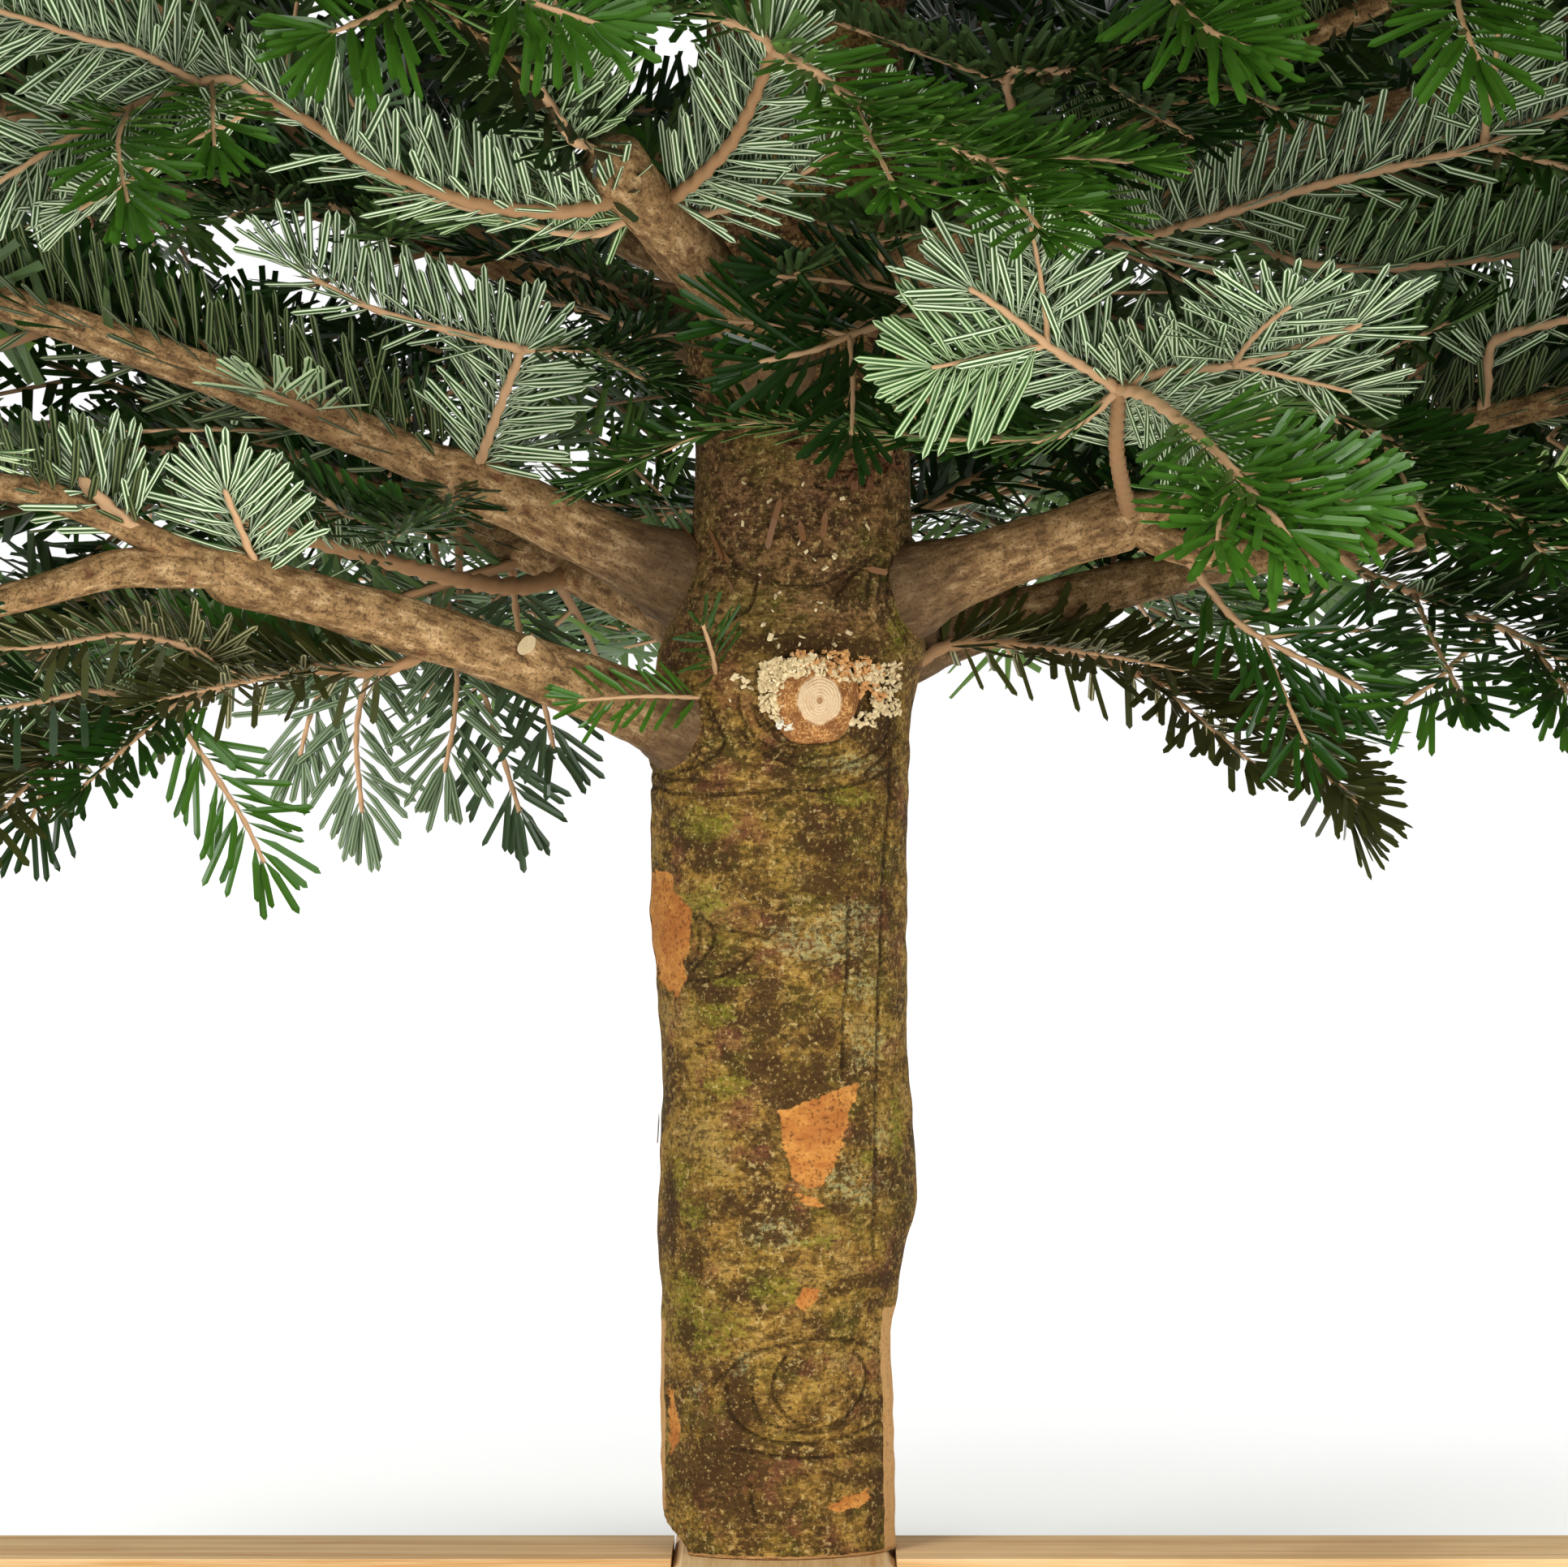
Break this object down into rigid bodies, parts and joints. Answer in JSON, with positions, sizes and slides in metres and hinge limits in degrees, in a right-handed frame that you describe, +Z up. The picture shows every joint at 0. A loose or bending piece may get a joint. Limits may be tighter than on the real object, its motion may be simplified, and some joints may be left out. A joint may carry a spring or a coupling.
{
  "type": "christmas tree",
  "caption": "Cut silver fir with its sawn trunk, boughs and layered needle foliage, standing on a plain wooden cross.",
  "frame": {"origin": "middle of the flat underside of the wooden cross, below the middle of the trunk's cut", "axes": "+Z up the trunk; -Y is the front, the side with the sawn bough; +X to the right seen from the front"},
  "size_m": [1.222, 1.1789, 1.8123],
  "materials": {
    "trunk_bark": "matt olive-brown bark with fine level wrinkles, green algae, pale lichen specks and orange scars",
    "bough_bark": "matt tan to grey-brown young bark with fine wrinkles",
    "needles": "half-gloss dark green needles with silver-green undersides",
    "sawn_board": "bare planed softwood with darker grain lines and small knots",
    "screw_steel": "dull zinc-plated steel"
  },
  "bodies": {
    "root": {"bough_1a": "bough_bark", "bough_1b": "bough_bark", "bough_1c": "bough_bark", "bough_1d": "bough_bark", "bough_1e": "bough_bark", "bough_1f": "bough_bark", "bough_2a": "bough_bark", "bough_2b": "bough_bark", "bough_2c": "bough_bark", "bough_2d": "bough_bark", "bough_2e": "bough_bark", "bough_2f": "bough_bark", "foliage_1a": "needles", "foliage_1b": "needles", "foliage_1c": "needles", "foliage_1d": "needles", "foliage_1e": "needles", "foliage_1f": "needles", "foliage_2a": "needles", "foliage_2b": "needles", "foliage_2c": "needles", "foliage_2d": "needles", "foliage_2e": "needles", "foliage_2f": "needles", "foliage_3a": "needles", "foliage_3b": "needles", "foliage_3c": "needles", "foliage_3d": "needles", "foliage_3e": "needles", "foliage_3f": "needles", "foliage_4a": "needles", "foliage_4b": "needles", "foliage_4c": "needles", "foliage_4d": "needles", "foliage_4e": "needles", "foliage_4f": "needles", "foliage_5a": "needles", "foliage_5b": "needles", "foliage_5c": "needles", "foliage_5d": "needles", "foliage_5e": "needles", "foliage_6a": "needles", "foliage_6b": "needles", "foliage_6c": "needles", "foliage_6d": "needles", "foliage_6e": "needles", "foliage_7a": "needles", "foliage_7b": "needles", "foliage_7c": "needles", "foliage_7d": "needles", "foliage_8a": "needles", "foliage_8b": "needles", "foliage_8c": "needles", "foliage_8d": "needles", "leader": "needles", "stand_board_lower": "sawn_board", "stand_board_upper": "sawn_board", "stand_screw_left": "screw_steel", "stand_screw_right": "screw_steel", "trunk": "trunk_bark"}
  },
  "joints": []
}
